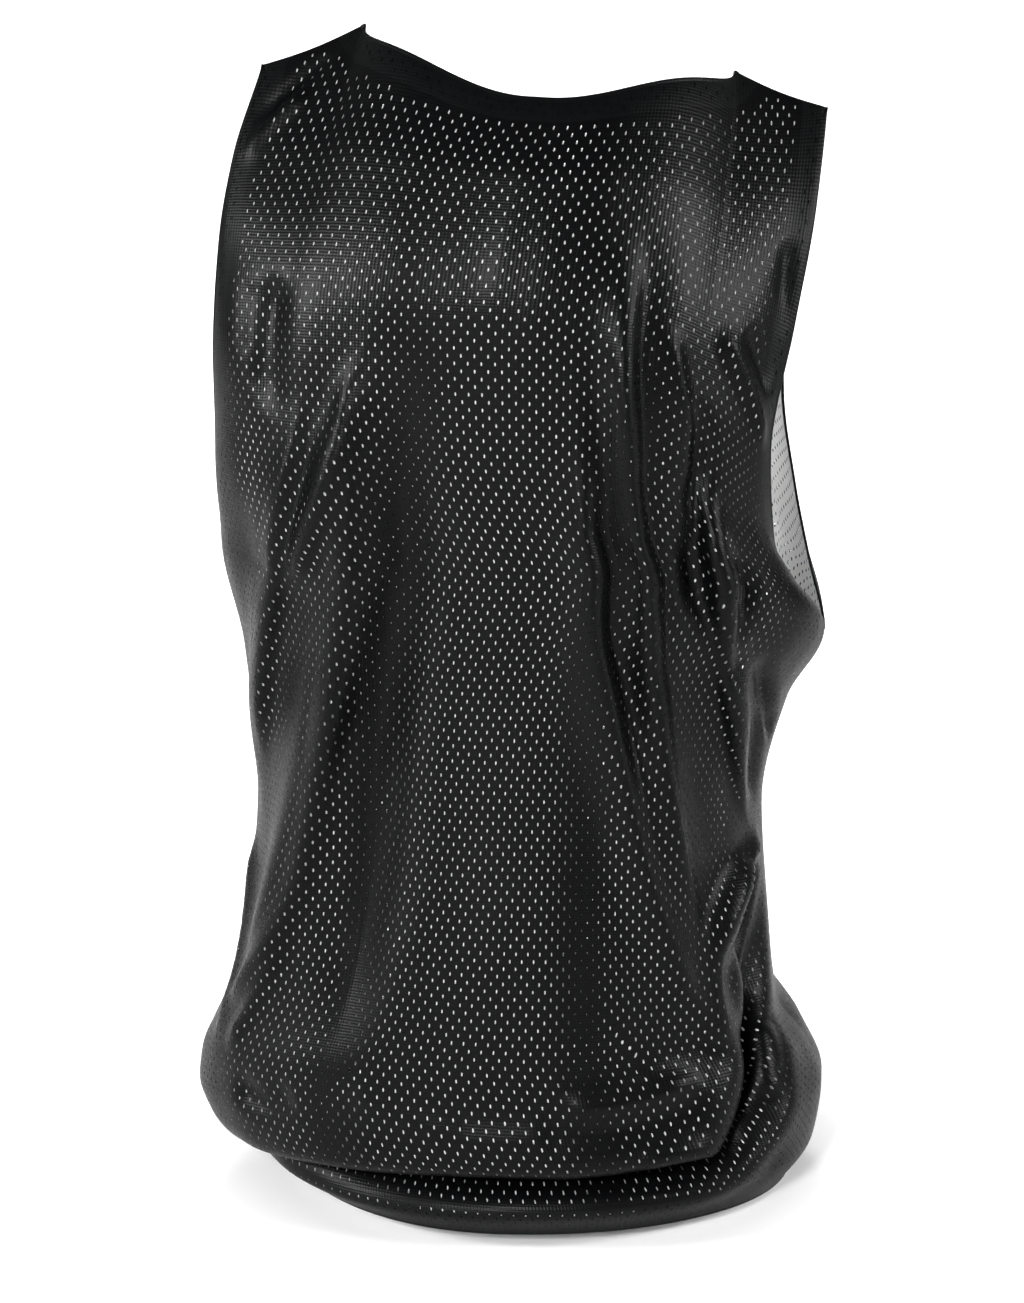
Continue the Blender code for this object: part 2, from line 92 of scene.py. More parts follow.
ARM_LEFT = {
    "back": [
        (480, 178, 20, -262), (520, 176, 32, -224), (580, 174, 42, -166), (640, 170, 36, -108),
        (690, 163, 20, -62), (736, 149, -5, -13), (765, 145, -20, 8)],
    "front": [
        (480, 180, -20, -262), (520, 178, -40, -224), (580, 174, -56, -166), (640, 166, -50, -108),
        (690, 158, -28, -62), (736, 149, -5, -13), (765, 145, 10, 8)]}
ARM_RIGHT = {
    "back": [
        (480, -174, 24, -318), (520, -160, 44, -284), (580, -157, 60, -226), (640, -170, 48, -150),
        (690, -180, 26, -88), (736, -185, -5, -34), (765, -186, -20, -12)],
    "front": [
        (480, -182, -22, -314), (520, -172, -42, -272), (580, -163, -58, -214), (640, -162, -54, -150),
        (690, -172, -32, -88), (736, -185, -5, -34), (765, -186, 10, -12)]}
# columns: v, angle a row wraps from the middle to its end, deg
WRAP = [(0, 90), (440, 90), (480, 87), (580, 78), (660, 68), (736, 60), (765, 58)]
# columns: v, how far a row rises over the shoulder muscle, mm
RISE = [(0, 0), (560, 0), (640, 4), (700, 12), (736, 20), (765, 24)]
# the shoulder seams: x, y, z of the neck end and of the arm end, left (+1) and right (-1)
SEAM_NECK = {1: (87, 0, 12), -1: (-131, 0, -13)}
SEAM_ARM = {1: (149, -5, -13), -1: (-185, -5, -34)}
SEAM_DIP = 2.0
SEAM_REACH = 210.0

# ---------------------------------------------------------------- folds, mm on the flat cut
# columns: name, height (out +, in -), half width, then the path from top to bottom as u, v
FOLDS = {
    "back": [
        ("left_crease", -5, 13, (140, 625), (138, 580), (143, 530)),
        ("left_ridge", 7, 17, (122, 555), (160, 455), (190, 385), (245, 285)),
        ("left_diagonal", 6, 15, (90, 550), (102, 500), (135, 452), (160, 415)),
        ("main_left", 13, 27, (75, 565), (112, 420), (145, 300), (175, 200), (208, 95)),
        ("trough_left", -9, 30, (45, 570), (72, 410), (80, 300), (95, 190), (112, 120)),
        ("right_one", 9, 19, (-57, 540), (-52, 430), (-90, 315), (-122, 225), (-172, 125)),
        ("right_two", 9, 19, (-80, 665), (-84, 500), (-105, 380), (-132, 275), (-165, 180)),
        ("right_three_in", -6, 12, (-122, 580), (-125, 507), (-114, 450), (-135, 412)),
        ("right_three_out", 8, 15, (-136, 535), (-129, 460), (-160, 392), (-195, 310)),
        ("right_four", -5, 12, (-158, 480), (-148, 435), (-160, 402), (-182, 388)),
        ("under_arm", -5, 12, (-192, 398), (-215, 350), (-232, 295)),
        ("arm_dent", -4, 16, (-178, 670), (-188, 600)),
        ("pocket", -9, 17, (-216, 285), (-206, 225), (-185, 180)),
        ("side_drape", 8, 16, (-244, 268), (-185, 240), (-160, 190))],
    "front": [
        ("left_ridge", 8, 20, (118, 540), (140, 450), (178, 370), (226, 285)),
        ("main_left", 11, 26, (62, 510), (88, 400), (130, 280), (180, 160)),
        ("trough_left", -8, 28, (28, 480), (52, 370), (78, 260), (110, 150)),
        ("right_one", 10, 20, (-48, 500), (-60, 390), (-92, 270), (-140, 150)),
        ("right_two", 9, 18, (-92, 560), (-98, 450), (-122, 340), (-168, 230)),
        ("right_three", 7, 15, (-150, 520), (-160, 430), (-196, 345)),
        ("under_arm", -5, 12, (-206, 400), (-222, 350), (-236, 300)),
        ("pocket", -8, 18, (-208, 270), (-190, 205), (-176, 160))]}
# the crease where the surplus length tucks in above the hem, left to right
# columns: u, v, depth, half width
CREASE = {
    "back": [
        (262, 42, 2, 13), (200, 44, 8, 13), (110, 47, 15, 14), (40, 51, 20, 15), (-15, 54, 23, 15),
        (-62, 55, 24, 15), (-112, 58, 24, 15), (-146, 71, 23, 15), (-170, 96, 21, 16),
        (-190, 130, 18, 15), (-212, 170, 12, 14), (-234, 213, 4, 13), (-244, 240, 0, 12)],
    "front": [
        (262, 46, 2, 13), (180, 60, 12, 14), (90, 72, 18, 15), (0, 70, 20, 15), (-90, 62, 18, 15),
        (-180, 56, 12, 14), (-262, 52, 2, 13)]}
CREASE_SLIDE = 0.34      # the upper cloth slides over the lower by this share of the depth
SIDE_FADE = 26.0         # folds die out this far from a side seam

STEP = 2.5
ROWS = np.arange(-5.0, 770.1, STEP)
COLS = np.arange(-275.0, 275.1, STEP)


def half_width(v, side):
    s = np.clip((np.asarray(v, float) - UNDERARM) / (LENGTH - SHOULDER_DROP - UNDERARM), 0, 1)
    return SHOULDER_HALF + (HALF_WIDTH - SHOULDER_HALF) * (1 - s) ** ARM_POWER[side]


def top_of(u, side):
    a = np.abs(np.asarray(u, float))
    curve = np.clip(1 - (a / NECK_HALF) ** NECK_POWER, 0, 1) ** (1 / NECK_POWER)
    neck = LENGTH - NECK_DROP[side] * curve
    shoulder = LENGTH - SHOULDER_DROP * (a - NECK_HALF) / (SHOULDER_HALF - NECK_HALF)
    return np.where(a < NECK_HALF, neck, shoulder)


def smooth(t):
    t = np.clip(t, 0, 1)
    return t * t * (3 - 2 * t)


def table(rows, q):
    """Smooth reading of a table whose first column is the place."""
    tab = np.asarray(rows, float)
    x, y = tab[:, 0], tab[:, 1:]
    h = np.diff(x)
    d = np.diff(y, axis=0) / h[:, None]
    m = np.zeros_like(y)
    for i in range(1, len(x) - 1):
        w1, w2 = 2 * h[i] + h[i - 1], h[i] + 2 * h[i - 1]
        same = d[i - 1] * d[i] > 0
        a = np.where(same, d[i - 1], 1)
        b = np.where(same, d[i], 1)
        m[i] = np.where(same, (w1 + w2) / (w1 / a + w2 / b), 0)
    m[0], m[-1] = d[0], d[-1]
    q = np.asarray(q, float)
    i = np.clip(np.searchsorted(x, q, side="right") - 1, 0, len(x) - 2)
    t = ((q - x[i]) / h[i])[..., None]
    k = h[i][..., None]
    return ((1 + 2 * t) * (1 - t) ** 2 * y[i] + t * (1 - t) ** 2 * k * m[i]
            + t * t * (3 - 2 * t) * y[i + 1] + t * t * (t - 1) * k * m[i + 1])


def sample(grid, u, v):
    a = (np.asarray(u, float) - COLS[0]) / STEP
    b = (np.asarray(v, float) - ROWS[0]) / STEP
    j = np.clip(a.astype(int), 0, len(COLS) - 2)
    i = np.clip(b.astype(int), 0, len(ROWS) - 2)
    g, f = (a - j)[..., None], (b - i)[..., None]
    return (grid[i, j] * (1 - f) * (1 - g) + grid[i + 1, j] * f * (1 - g)
            + grid[i, j + 1] * (1 - f) * g + grid[i + 1, j + 1] * f * g)


def smooth_form(side):
    """The worn form before folds: one point for each place on the flat cut."""
    mid = table(MIDDLE[side], ROWS)
    left = table(SIDE_LEFT + ARM_LEFT[side], ROWS)
    right = table(SIDE_RIGHT + ARM_RIGHT[side], ROWS)
    wrap = np.radians(table(WRAP, ROWS)[:, 0])
    rise = table(RISE, ROWS)[:, 0]
    t = np.linspace(-1.08, 1.08, 243)
    ang = t[None, :] * wrap[:, None]
    end = np.where((t >= 0)[None, :, None], left[:, None, :], right[:, None, :])
    across = np.abs(np.sin(ang)) / np.sin(wrap)[:, None]
    around = (1 - np.cos(ang)) / (1 - np.cos(wrap))[:, None]
    pts = mid[:, None, :] + (end - mid[:, None, :]) * np.stack([across, around, around], -1)
    pts[..., 2] += rise[:, None] * np.sin(np.clip(np.abs(t), 0, 1) * math.pi)[None, :] ** 2
    run = np.linalg.norm(np.diff(pts, axis=1), axis=2)
    run = np.concatenate([np.zeros((len(ROWS), 1)), np.cumsum(run, axis=1)], axis=1)
    half = half_width(ROWS, side)
    out = np.empty((len(ROWS), len(COLS), 3))
    for r in range(len(ROWS)):
        lo, hi = np.interp([-1, 1], t, run[r])
        q = lo + (COLS / half[r] + 1) / 2 * (hi - lo)
        for c in range(3):
            out[r, :, c] = np.interp(q, run[r], pts[r, :, c])
        for beyond, e, n in ((q < run[r, 0], 0, 1), (q > run[r, -1], -1, -2)):
            if beyond.any():
                slope = (pts[r, n] - pts[r, e]) / (run[r, n] - run[r, e])
                out[r, beyond] = pts[r, e] + np.outer(q[beyond] - run[r, e], slope)
    # front and back meet on the shoulder seams
    at = sample(out, COLS, top_of(COLS, side))
    fix = np.zeros_like(at)
    for hand in (1, -1):
        here = np.sign(COLS) == hand
        a = np.clip((np.abs(COLS) - NECK_HALF) / (SHOULDER_HALF - NECK_HALF), 0, 1)
        aim = ((1 - a)[:, None] * np.array(SEAM_NECK[hand], float)
               + a[:, None] * np.array(SEAM_ARM[hand], float))
        aim[:, 2] -= SEAM_DIP * np.sin(a * math.pi)
        seam = here & (np.abs(COLS) >= NECK_HALF) & (np.abs(COLS) <= SHOULDER_HALF)
        fix[seam] = aim[seam] - at[seam]
        order = np.where(seam)[0]
        first = order[np.argmin(np.abs(COLS[order]))]
        last = order[np.argmax(np.abs(COLS[order]))]
        inner = here & (np.abs(COLS) < NECK_HALF)
        fix[inner] = fix[first] * ((np.abs(COLS[inner]) / NECK_HALF) ** 1.2)[:, None]
        fix[here & (np.abs(COLS) > SHOULDER_HALF)] = fix[last]
    w = smooth((ROWS - (LENGTH - 14 - SEAM_REACH)) / SEAM_REACH)
    return out + w[:, None, None] * fix[None]


def path_of(points, n):
    """Even points along a soft curve through the given places; all columns ride along."""
    p = np.asarray(points, float)
    run = np.concatenate([[0], np.cumsum(np.linalg.norm(np.diff(p[:, :2], axis=0), axis=1))])
    return table(np.column_stack([run, p]), np.linspace(0, run[-1], n))


def nearest(path, u, v):
    """Signed distance to a path (left of its direction +), share along it, its own columns."""
    best = np.full(u.shape, 1e9)
    dist = np.zeros(u.shape)
    share = np.zeros(u.shape)
    du, dv = np.zeros(u.shape), np.zeros(u.shape)
    for k in range(len(path) - 1):
        a, b = path[k, :2], path[k + 1, :2]
        e = b - a
        t = np.clip(((u - a[0]) * e[0] + (v - a[1]) * e[1]) / (e @ e), 0, 1)
        x, y = u - a[0] - t * e[0], v - a[1] - t * e[1]
        d = np.hypot(x, y)
        near = d < best
        best = np.where(near, d, best)
        turn = e[0] * y - e[1] * x
        dist = np.where(near, np.where(turn >= 0, d, -d), dist)
        share = np.where(near, (k + t) / (len(path) - 1), share)
        length = math.hypot(e[0], e[1])
        du = np.where(near, -e[1] / length, du)
        dv = np.where(near, e[0] / length, dv)
    return dist, share, du, dv


def outward(grid, side):
    n = np.cross(np.gradient(grid, axis=1), np.gradient(grid, axis=0))
    n /= np.linalg.norm(n, axis=2, keepdims=True)
    return -n if side == "back" else n


def worn_form(side):
    base = smooth_form(side)
    u, v = np.meshgrid(COLS, ROWS)
    fade = smooth((HALF_WIDTH - np.abs(u)) / SIDE_FADE)
    fade = np.where(v > UNDERARM, smooth((half_width(v, side) - np.abs(u) + 4) / SIDE_FADE), fade)
    # the crease above the hem: the path runs left to right, so "left of it" is below
    path = path_of(CREASE[side], 60)
    dist, share, du, dv = nearest(path, u, v)
    dist, du, dv = -dist, -du, -dv
    depth = np.interp(share, np.linspace(0, 1, 60), path[:, 2]) * fade
    width = np.interp(share, np.linspace(0, 1, 60), path[:, 3])
    d = dist / width
    slide = CREASE_SLIDE * depth * np.tanh(d) * np.exp(-(d / 6) ** 2)
    out = sample(base, u - du * slide, v - dv * slide)
    lift = depth * (-np.exp(-d ** 2) + 0.32 * np.exp(-((d - 2.1) / 1.3) ** 2)
                    + 0.22 * np.exp(-((d + 1.9) / 1.1) ** 2))
    for _, height, half, *path in FOLDS[side]:
        dist, share, _, _ = nearest(path_of(path, 40), u, v)
        ends = smooth(share / 0.28) * smooth((1 - share) / 0.28)
        lift += height * np.exp(-(dist / half) ** 2) * ends * fade
    normal = sample(outward(base, side), u - du * slide, v - dv * slide)
    normal /= np.linalg.norm(normal, axis=2, keepdims=True)
    return out + normal * lift[..., None]



# ---------------------------------------------------------------- surfaces
def cubic(grid, u, v):
    """Smooth reading of a grid of points at places on the flat cut."""
    a = (np.asarray(u, float) - COLS[0]) / STEP
    b = (np.asarray(v, float) - ROWS[0]) / STEP
    j = np.clip(np.floor(a).astype(int), 1, len(COLS) - 3)
    i = np.clip(np.floor(b).astype(int), 1, len(ROWS) - 3)
    s, t = a - j, b - i

    def weights(x):
        return [(-x + 2 * x * x - x ** 3) / 2, (2 - 5 * x * x + 3 * x ** 3) / 2,
                (x + 4 * x * x - 3 * x ** 3) / 2, (-x * x + x ** 3) / 2]
    ws, wt = weights(s), weights(t)
    out = 0
    for m in range(4):
        row = 0
        for n in range(4):
            row = row + grid[i + m - 1, j + n - 1] * ws[n][..., None]
        out = out + row * wt[m][..., None]
    return out


# sharp creases over the folds; columns: name, height (out +, in -), reach on the wearer's
# left and on the right of the line, then the line from top to bottom as u, v
CREASES = {
    "back": [
        ("right_one", 6.0, 26, 11, (-57, 560), (-57, 520), (-50, 470), (-48, 435), (-55, 410), (-65, 385),
         (-75, 357), (-86, 325), (-100, 272), (-117, 222), (-140, 172), (-162, 125)),
        ("right_one_in", -6.0, 13, 22, (-58, 615), (-62, 560), (-66, 510), (-60, 460), (-64, 418),
         (-80, 385), (-94, 345), (-106, 300)),
        ("right_two", 7.0, 24, 10, (-80, 660), (-77, 602), (-77, 567), (-79, 545), (-82, 515),
         (-81, 477), (-83, 442), (-91, 412), (-101, 380), (-110, 347), (-118, 317), (-126, 282),
         (-136, 250), (-150, 200)),
        ("right_two_in", -6.0, 13, 24, (-78, 672), (-82, 630), (-85, 597), (-88, 565), (-92, 522),
         (-92, 477), (-95, 437), (-105, 400), (-114, 365)),
        ("right_two_press", -1.5, 9, 9, (-78, 530), (-75, 475), (-76, 435), (-83, 405)),
        ("right_three_light", 4.5, 24, 9, (-98, 615), (-111, 580), (-120, 545), (-121, 505)),
        ("right_three_in", -4.5, 10, 13, (-126, 580), (-127, 550), (-129, 515), (-123, 480), (-114, 452),
         (-117, 436), (-125, 424), (-136, 410)),
        ("right_three", 7.0, 8, 24, (-137, 540), (-133, 497), (-129, 462), (-132, 438), (-146, 408),
         (-161, 375), (-178, 342), (-200, 307), (-222, 278)),
        ("right_four", -4.0, 11, 12, (-159, 482), (-151, 440), (-150, 415), (-156, 400), (-174, 388)),
        ("arm_ridge", 4.5, 10, 18, (-130, 622), (-153, 604), (-169, 591), (-186, 572)),
        ("arm_line", -2.5, 10, 10, (-150, 626), (-164, 614), (-181, 602)),
        ("arm_crease", -3.0, 10, 11, (-168, 676), (-178, 652), (-190, 630)),
        ("under_arm", -4.5, 10, 14, (-176, 404), (-214, 376), (-252, 345)),
        ("side_drape", 7.0, 18, 18, (-248, 278), (-195, 248), (-168, 225), (-156, 200), (-153, 180),
         (-156, 155), (-164, 125)),
        ("pocket", -6.5, 18, 14, (-226, 265), (-213, 215), (-199, 180), (-206, 148)),
        ("bulge_side", 6.0, 14, 12, (-228, 166), (-205, 131), (-188, 105), (-171, 82), (-148, 62)),
        ("roll_inner", 4.5, 10, 10, (-220, 146), (-202, 119), (-192, 94)),
        ("main_left", 6.0, 16, 26, (68, 600), (74, 560), (81, 527), (90, 490), (101, 452), (107, 415),
         (112, 388), (117, 358), (123, 330), (130, 300)),
        ("main_left_low", 6.5, 14, 13, (108, 410), (117, 358), (123, 330), (130, 300), (136, 272),
         (141, 247), (148, 228), (158, 207), (171, 190), (190, 171), (226, 150)),
        ("main_branch", 4.5, 13, 9, (148, 210), (163, 180), (175, 157), (188, 128)),
        ("trough", -6.0, 34, 36, (40, 590), (52, 520), (73, 452), (84, 392), (90, 350), (96, 300),
         (97, 237), (98, 182), (104, 125)),
        ("left_diagonal", 6.0, 15, 8, (78, 578), (86, 542), (92, 520), (102, 497), (115, 475),
         (132, 450), (158, 424)),
        ("left_one", 6.0, 14, 9, (116, 556), (122, 522), (135, 492), (150, 457), (165, 420), (180, 387),
         (193, 352), (214, 306)),
        ("left_slit", -1.8, 13, 13, (135, 622), (142, 592), (146, 573), (154, 546)),
        ("left_slit_two", -1.2, 10, 10, (154, 616), (158, 596), (163, 568)),
        ("left_low", 4.5, 16, 16, (248, 268), (228, 215), (215, 172), (212, 128)),
        ("low_one", 2.5, 20, 20, (86, 124), (57, 113), (32, 107), (16, 105)),
        ("low_two", 2.0, 20, 20, (27, 103), (-7, 104), (-40, 107)),
        ("low_three", 5.5, 14, 14, (-38, 122), (-67, 122), (-97, 125), (-134, 132)),
        ("low_four", 4.5, 12, 12, (-78, 86), (-110, 90), (-144, 80)),
        ("low_left_in", -5.0, 14, 14, (178, 112), (150, 104), (124, 116)),
        ("strap_in", -4.0, 9, 9, (138, 744), (160, 727), (182, 704)),
        ("strap_out", 3.5, 9, 9, (146, 722), (164, 706), (180, 686))],
    "front": [
        ("left_one", 6.5, 12, 24, (112, 560), (126, 490), (150, 420), (186, 350), (230, 280)),
        ("left_one_in", -5.5, 20, 10, (96, 540), (110, 470), (134, 400), (160, 345)),
        ("main_left", 6.5, 16, 24, (60, 520), (72, 450), (92, 380), (118, 310), (150, 230), (182, 160)),
        ("trough_left", -6.0, 30, 30, (30, 500), (48, 400), (66, 300), (90, 210), (112, 140)),
        ("right_one", 6.5, 26, 12, (-46, 530), (-52, 450), (-64, 380), (-88, 290), (-124, 190), (-150, 130)),
        ("right_one_in", -6.5, 11, 22, (-60, 540), (-68, 450), (-84, 370), (-108, 290)),
        ("right_two", 6.5, 22, 10, (-90, 580), (-96, 500), (-104, 430), (-128, 330), (-170, 226)),
        ("right_three", 5.5, 10, 20, (-148, 540), (-154, 460), (-172, 396), (-204, 330), (-230, 290)),
        ("right_three_in", -5.5, 8, 8, (-136, 520), (-142, 460), (-156, 410), (-180, 366)),
        ("left_slit", -3.5, 10, 10, (140, 600), (150, 570), (156, 530)),
        ("pocket", -6.0, 16, 14, (-222, 280), (-206, 220), (-186, 160)),
        ("neck_drape", 3.5, 22, 22, (70, 600), (0, 560), (-66, 604)),
        ("neck_drape_two", 3.0, 20, 20, (52, 548), (0, 516), (-50, 552)),
        ("low_one", 5.0, 14, 14, (100, 124), (40, 116), (-16, 122)),
        ("low_two", 4.5, 12, 12, (10, 104), (-60, 98), (-120, 104)),
        ("left_low", 4.5, 16, 16, (246, 262), (226, 210), (212, 150))]}
CREST = 2.0              # radius of a crease's crest
LEAST_REACH = 8          # narrower creases look beaded, because of the holes
FLANK = 1.7              # how fast a crease's flanks flatten
END_FADE = 0.22          # share of a crease's length over which each end dies out


def uneven(u, v):
    """Slight unevenness of limp cloth, longest along the drop."""
    rng = np.random.default_rng(11)
    out = np.zeros(u.shape)
    for across, along, high in ((46, 120, 0.8), (24, 64, 0.42), (15, 30, 0.2)):
        n, m = int(560 / across) + 4, int(790 / along) + 4
        knots = rng.uniform(-1, 1, (m, n))
        a, b = (u + 280) / across + 1, (v + 10) / along + 1
        j, i = np.floor(a).astype(int), np.floor(b).astype(int)
        s, t = smooth(a - j), smooth(b - i)
        out += high * (knots[i, j] * (1 - s) * (1 - t) + knots[i, j + 1] * s * (1 - t)
                       + knots[i + 1, j] * (1 - s) * t + knots[i + 1, j + 1] * s * t)
    return out


def creased(side):
    form = worn_form(side)
    u, v = np.meshgrid(COLS, ROWS)
    fade = smooth((HALF_WIDTH - np.abs(u)) / SIDE_FADE)
    fade = np.where(v > UNDERARM, smooth((half_width(v, side) - np.abs(u) + 4) / SIDE_FADE), fade)
    fade *= smooth((top_of(u, side) - v) / 30) * smooth(v / 40)
    lift = uneven(u, v if side == "back" else v[::-1])
    for _, height, left, right, *path in CREASES[side]:
        dist, share, _, _ = nearest(path_of(path, 60), u, v)
        reach = np.maximum(np.where(dist > 0, left, right), LEAST_REACH)
        q = (np.sqrt(dist ** 2 + CREST ** 2) - CREST) / reach
        ends = smooth(share / END_FADE) * smooth((1 - share) / END_FADE)
        lift += height * np.clip(1 - q, 0, 1) ** FLANK * ends
    return form + outward(form, side) * (lift * fade)[..., None]


FORM = {side: creased(side) for side in ("back", "front")}
NORMAL = {side: outward(FORM[side], side) for side in FORM}


ROOM_MOST = 1.3          # how much further in the lining lies in the tightest bends
ROOM_BEND = 0.05         # bend, 1/mm, from which it gives way
ROOM_RATE = 4.5          # and how fast it does


def bend_room(side):
    """How much further in the lining lies where the cloth bends tightly."""
    f, n = FORM[side], NORMAL[side]
    bend = np.zeros(f.shape[:2])
    for axis in (0, 1):
        a, b = np.roll(f, 2, axis), np.roll(f, -2, axis)
        bend = np.maximum(bend, np.abs(((a + b - 2 * f) * n).sum(2)) / (2 * STEP) ** 2)
    bend[:3], bend[-3:], bend[:, :3], bend[:, -3:] = 0, 0, 0, 0
    for _ in range(2):
        for axis in (0, 1):
            bend = np.maximum(bend, np.maximum(np.roll(bend, 1, axis), np.roll(bend, -1, axis)))
    for _ in range(4):
        for axis in (0, 1):
            bend = (np.roll(bend, 1, axis) + 2 * bend + np.roll(bend, -1, axis)) / 4
    return np.clip(ROOM_RATE * (bend - ROOM_BEND), 0, ROOM_MOST)[..., None]


ROOM = {side: bend_room(side) for side in FORM}


INNER = -0.3             # what lies further in than this gives way in bends


def place(side, flat, off):
    """Points on the worn cloth, off mm outside its middle."""
    flat = np.asarray(flat, float)
    n = cubic(NORMAL[side], flat[:, 0], flat[:, 1])
    n /= np.linalg.norm(n, axis=1)[:, None]
    off = np.broadcast_to(np.asarray(off, float), (len(flat),))
    room = cubic(ROOM[side], flat[:, 0], flat[:, 1])[:, 0]
    off = np.where(off < INNER, off - room, off)
    return cubic(FORM[side], flat[:, 0], flat[:, 1]) + n * off[:, None]


def facing(side, flat):
    """Outward normals of the worn cloth."""
    n = cubic(NORMAL[side], flat[:, 0], flat[:, 1])
    return n / np.linalg.norm(n, axis=1)[:, None]


# where the holes of the two layers line up, so that no white shows; columns: v, u of the
# wearer's left line, u of the right line
LINED_UP = [(100, 105, -65), (180, 97, -65), (300, 95, -65), (400, 84, -52), (455, 72, -60),
            (580, 40, -93), (760, 40, -93)]
LINED_FIRST = (68.5, -65.0)      # where they line up on the lining as it is cut
LINING_EASE = 0.0545             # moving a line by 1 mm takes this much ease, as the pitches differ
LINING_DROP = 2.3                # the lining hangs this much lower at the shoulders
SHADE_SHRINK = 0.55                    # how much smaller the outer holes are made on those lines, so black cloth stands in for shade: painted shade


def shut_for_painted_shade(u, v):
    """The outer holes are made smaller where both layers' holes line up: the black cloth there is painted
    shade, standing in for the dark seen through both holes.
    """
    at = table(LINED_UP, v.clip(100, 760))
    half = 9 + 5 * smooth((v - 330) / 60)
    near = np.exp(-((u - at[:, 0]) / half) ** 2) + np.exp(-((u - at[:, 1]) / half) ** 2)
    return 1 - SHADE_SHRINK * near * smooth((630 - v) / 90)


def hung(flat):
    """The lining's own places, eased against the outer cloth."""
    flat = np.array(flat, float)
    u, v = flat[:, 0].copy(), flat[:, 1].copy()
    at = table(LINED_UP, v.clip(100, 760))
    slip = LINING_EASE * (at - np.array(LINED_FIRST))
    t = np.clip((u - at[:, 1]) / (at[:, 0] - at[:, 1]), 0, 1)
    held = smooth((226 - np.abs(u)) / 60) * smooth((half_width(v, "front") - np.abs(u)) / 40) * smooth(v / 60)
    flat[:, 0] += (slip[:, 1] * (1 - t) + slip[:, 0] * t) * held
    flat[:, 1] -= LINING_DROP * smooth((v - 480) / 100)
    return flat


# ---------------------------------------------------------------- lines of the cut
def dense(points, step):
    """Even points along a broken line."""
    p = np.asarray(points, float)
    seg = np.linalg.norm(np.diff(p, axis=0), axis=1)
    run = np.concatenate([[0], np.cumsum(seg)])
    n = max(2, int(round(run[-1] / step)) + 1)
    q = np.linspace(0, run[-1], n)
    return np.column_stack([np.interp(q, run, p[:, 0]), np.interp(q, run, p[:, 1])])


def inward(line, by):
    """A line moved sideways by a distance, on the flat."""
    t = np.gradient(line, axis=0)
    t /= np.linalg.norm(t, axis=1)[:, None]
    return line + by * np.column_stack([t[:, 1], -t[:, 0]])


def on_shoulder(u):
    return LENGTH - SHOULDER_DROP * (abs(u) - NECK_HALF) / (SHOULDER_HALF - NECK_HALF)


LINE = 3.6               # step between the points of a cut line


def arm_edge(side):
    v = np.linspace(UNDERARM, LENGTH - SHOULDER_DROP, 400)
    return dense(np.column_stack([half_width(v, side), v]), LINE)


def arm_seam(side):
    edge = arm_edge(side)
    off = inward(edge, -ARM_BAND)
    off = off[(edge[:, 1] > UNDERARM + 22) & (off[:, 1] < on_shoulder(SHOULDER_HALF - ARM_BAND) - 2)]
    end = (SHOULDER_HALF - ARM_BAND, on_shoulder(SHOULDER_HALF - ARM_BAND))
    start = [(HALF_WIDTH, UNDERARM - ARM_BAND), (HALF_WIDTH - 11, UNDERARM - ARM_BAND + 3)]
    return dense(path_of(start + list(off[::6]) + [end], 300), LINE)


def neck_edge(side):
    a = np.linspace(math.pi, 0, 500)
    k = 2 / NECK_POWER
    u = -NECK_HALF * np.sign(np.cos(a)) * np.abs(np.cos(a)) ** k
    v = LENGTH - NECK_DROP[side] * np.sin(a).clip(0) ** k
    return dense(np.column_stack([u, v]), LINE)


def neck_seam(side):
    edge = neck_edge(side)
    off = inward(edge, -NECK_BAND)
    ends = NECK_HALF + NECK_BAND
    off = off[(off[:, 1] < on_shoulder(ends) - 3) & (np.abs(off[:, 0]) < ends - 0.5)]
    line = [(ends, on_shoulder(ends))] + list(off[::5]) + [(-ends, on_shoulder(ends))]
    return dense(path_of(line, 400), LINE)


def mirror(line):
    return line * (-1, 1)


def shoulder(u0, u1):
    return dense([(u0, on_shoulder(u0)), (u1, on_shoulder(u1))], LINE)


def side_seam(v0, v1, hand):
    return dense([(hand * HALF_WIDTH, v0), (hand * HALF_WIDTH, v1)], LINE)


def ring(*lines):
    """Lines joined end to end, each shared point once."""
    pts = []
    for line in lines:
        for p in line:
            if not pts or math.hypot(p[0] - pts[-1][0], p[1] - pts[-1][1]) > 0.2:
                pts.append((float(p[0]), float(p[1])))
    if math.hypot(pts[0][0] - pts[-1][0], pts[0][1] - pts[-1][1]) < 0.2:
        pts.pop()
    return np.array(pts)


def panel_ring(side, low=HEM_BAND):
    arm, neck = arm_seam(side), neck_seam(side)
    a, n = SHOULDER_HALF - ARM_BAND, NECK_HALF + NECK_BAND
    return ring(dense([(-HALF_WIDTH, low), (HALF_WIDTH, low)], LINE),
                side_seam(low, UNDERARM - ARM_BAND, 1), arm, shoulder(a, n), neck,
                shoulder(-n, -a), mirror(arm)[::-1], side_seam(UNDERARM - ARM_BAND, low, -1))


def whole_ring(side, back_off):
    """The whole cut of one panel, short of its open edges."""
    arm = inward(arm_edge(side), -back_off)
    arm[0] = (HALF_WIDTH, UNDERARM - back_off * 1.2)
    arm[-1] = (SHOULDER_HALF - back_off, on_shoulder(SHOULDER_HALF - back_off))
    neck = inward(neck_edge(side), -back_off)
    n = NECK_HALF + back_off
    neck = neck[(neck[:, 1] < on_shoulder(n) - 0.3) & (np.abs(neck[:, 0]) < n - 0.1)]
    return ring(dense([(-HALF_WIDTH, back_off), (HALF_WIDTH, back_off)], LINE),
                side_seam(back_off, arm[0, 1], 1), arm, shoulder(arm[-1, 0], n), neck,
                shoulder(-n, -arm[-1, 0]), mirror(arm)[::-1], side_seam(arm[0, 1], back_off, -1))


